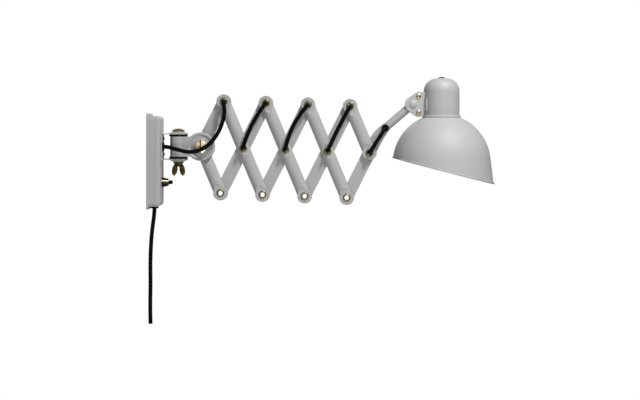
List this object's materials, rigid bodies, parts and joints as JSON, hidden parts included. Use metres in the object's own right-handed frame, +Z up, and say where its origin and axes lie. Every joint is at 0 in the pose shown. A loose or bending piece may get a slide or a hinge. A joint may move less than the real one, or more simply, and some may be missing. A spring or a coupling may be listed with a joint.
{
  "type": "scissor arm wall lamp",
  "caption": "Wall lamp with a sloping bell shade on a ball joint at the end of a lazy-tongs scissor arm that swings on a wall box with a push switch.",
  "frame": {"origin": "middle of the wall plate's back face, where it lies on the wall", "axes": "+X away from the wall along the arm, +Z up, -Y towards the side that shows the cord and screw heads"},
  "size_m": [0.7161, 0.2115, 0.5096],
  "materials": {
    "grey_paint": "satin light grey lacquer",
    "brass": "turned brass",
    "zinc_steel": "zinc plated",
    "black_nylon": "moulded matt black",
    "black_phenolic": "moulded glossy black",
    "black_rubber": "moulded rubber",
    "cord_sheath": "smooth black sheath",
    "white_plastic": "moulded"
  },
  "bodies": {
    "wall_unit": {"wall_plate": "grey_paint", "box_cover": "grey_paint", "swivel_bracket": "grey_paint", "bracket_screws": "zinc_steel", "swivel_bolt": "brass", "dished_washers": "grey_paint", "arm_cord_grommet": "black_rubber", "supply_gland": "black_rubber", "supply_cord": "cord_sheath", "lead_wall": "cord_sheath", "switch_body": "black_nylon", "switch_collar": "brass", "terminal_block": "white_plastic"},
    "wing_nut": {"wing_nut": "brass"},
    "switch_button": {"switch_button": "black_nylon"},
    "swivel_head": {"swivel_block": "grey_paint", "swivel_bushes": "black_nylon"},
    "tilt_hub": {"hub_screw": "brass", "hub_washer": "grey_paint", "friction_discs": "black_nylon", "clamp_plate": "grey_paint", "hub_nut": "zinc_steel", "lead_arm": "cord_sheath"},
    "front_arm_0": {"front_link_0": "grey_paint", "eyelets_0": "brass"},
    "rear_arm_0": {"rear_link_0": "grey_paint"},
    "front_arm_1": {"front_link_1": "grey_paint", "eyelets_1": "brass", "cord_rear_1": "cord_sheath"},
    "front_arm_2": {"front_link_2": "grey_paint", "eyelets_2": "brass", "cord_rear_2": "cord_sheath"},
    "front_arm_3": {"front_link_3": "grey_paint", "eyelets_3": "brass", "cord_rear_3": "cord_sheath"},
    "front_arm_4": {"front_link_4": "grey_paint", "eyelets_4": "brass", "cord_rear_4": "cord_sheath"},
    "rear_arm_1": {"rear_link_1": "grey_paint", "cord_front_1": "cord_sheath"},
    "rear_arm_2": {"rear_link_2": "grey_paint", "cord_front_2": "cord_sheath"},
    "rear_arm_3": {"rear_link_3": "grey_paint", "cord_front_3": "cord_sheath"},
    "lamp_arm": {"lamp_arm": "grey_paint", "arm_grommet": "black_rubber", "arm_lead": "cord_sheath"},
    "joint_ball": {"joint_ball": "grey_paint"},
    "lamp_head": {"joint_plate_front": "grey_paint", "joint_plate_rear": "grey_paint", "plate_screws": "brass", "neck_housing": "grey_paint", "shade_bowl": "grey_paint", "top_nut": "black_nylon", "lampholder_body": "black_phenolic", "screw_shell": "brass", "centre_contact": "brass", "head_lead": "cord_sheath"}
  },
  "joints": [
    {"name": "wing_nut_turn", "type": "hinge", "parent": "wall_unit", "child": "wing_nut", "pos_m": [0.062, 0, -0.0015], "axis": [0, 0, 1], "continuous": true},
    {"name": "switch_press", "type": "slide", "parent": "wall_unit", "child": "switch_button", "axis": [-1, 0, 0], "range_m": [0, 0.003], "stiffness_N_per_m": 600},
    {"name": "arm_swing", "type": "hinge", "parent": "wall_unit", "child": "swivel_head", "pos_m": [0.062, 0, 0.0301], "axis": [0, 0, 1], "range_deg": [-75, 75], "deforming": ["lead_wall"]},
    {"name": "arm_tilt", "type": "hinge", "parent": "swivel_head", "child": "tilt_hub", "pos_m": [0.109, 0, 0.0301], "axis": [0, 1, 0], "range_deg": [-20, 20]},
    {"name": "arm_extend", "type": "hinge", "parent": "tilt_hub", "child": "rear_arm_0", "pos_m": [0.109, 0, 0.0301], "axis": [0, 1, 0], "range_deg": [-9, 30], "deforming": ["lead_arm"]},
    {"name": "hub_front_link", "type": "hinge", "parent": "tilt_hub", "child": "front_arm_0", "pos_m": [0.109, 0, 0.0301], "axis": [0, 1, 0], "range_deg": [-30, 9]},
    {"name": "top_pivot_1", "type": "hinge", "parent": "rear_arm_0", "child": "front_arm_1", "pos_m": [0.15598, 0, 0.12311], "axis": [0, 1, 0], "range_deg": [-60, 18]},
    {"name": "low_pivot_2", "type": "hinge", "parent": "front_arm_1", "child": "rear_arm_2", "pos_m": [0.23607, 0, -0.06929], "axis": [0, 1, 0], "range_deg": [-18, 60]},
    {"name": "top_pivot_3", "type": "hinge", "parent": "rear_arm_2", "child": "front_arm_3", "pos_m": [0.33003, 0, 0.11672], "axis": [0, 1, 0], "range_deg": [-60, 18]},
    {"name": "low_pivot_4", "type": "hinge", "parent": "front_arm_3", "child": "lamp_arm", "pos_m": [0.41012, 0, -0.07567], "axis": [0, 1, 0], "range_deg": [-18, 60]},
    {"name": "low_pivot_1", "type": "hinge", "parent": "front_arm_0", "child": "rear_arm_1", "pos_m": [0.14904, 0, -0.0661], "axis": [0, 1, 0], "range_deg": [-18, 60]},
    {"name": "top_pivot_2", "type": "hinge", "parent": "rear_arm_1", "child": "front_arm_2", "pos_m": [0.24301, 0, 0.11992], "axis": [0, 1, 0], "range_deg": [-60, 18]},
    {"name": "low_pivot_3", "type": "hinge", "parent": "front_arm_2", "child": "rear_arm_3", "pos_m": [0.32309, 0, -0.07248], "axis": [0, 1, 0], "range_deg": [-18, 60]},
    {"name": "top_pivot_4", "type": "hinge", "parent": "rear_arm_3", "child": "front_arm_4", "pos_m": [0.41706, 0, 0.11353], "axis": [0, 1, 0], "range_deg": [-60, 18]},
    {"name": "head_roll", "type": "hinge", "parent": "lamp_arm", "child": "joint_ball", "pos_m": [0.5472, 0.00415, 0.1173], "axis": [0.7622, 0, 0.6473], "range_deg": [-60, 60]},
    {"name": "head_tilt", "type": "hinge", "parent": "joint_ball", "child": "lamp_head", "pos_m": [0.5472, 0.00415, 0.1173], "axis": [0, 1, 0], "range_deg": [-75, 12]}
  ],
  "couplings": [
    {"joint": "hub_front_link", "follows": "arm_extend", "ratio": -1},
    {"joint": "top_pivot_1", "follows": "arm_extend", "ratio": -2},
    {"joint": "low_pivot_2", "follows": "arm_extend", "ratio": 2},
    {"joint": "top_pivot_3", "follows": "arm_extend", "ratio": -2},
    {"joint": "low_pivot_4", "follows": "arm_extend", "ratio": 2},
    {"joint": "low_pivot_1", "follows": "arm_extend", "ratio": 2},
    {"joint": "top_pivot_2", "follows": "arm_extend", "ratio": -2},
    {"joint": "low_pivot_3", "follows": "arm_extend", "ratio": 2},
    {"joint": "top_pivot_4", "follows": "arm_extend", "ratio": -2}
  ]
}
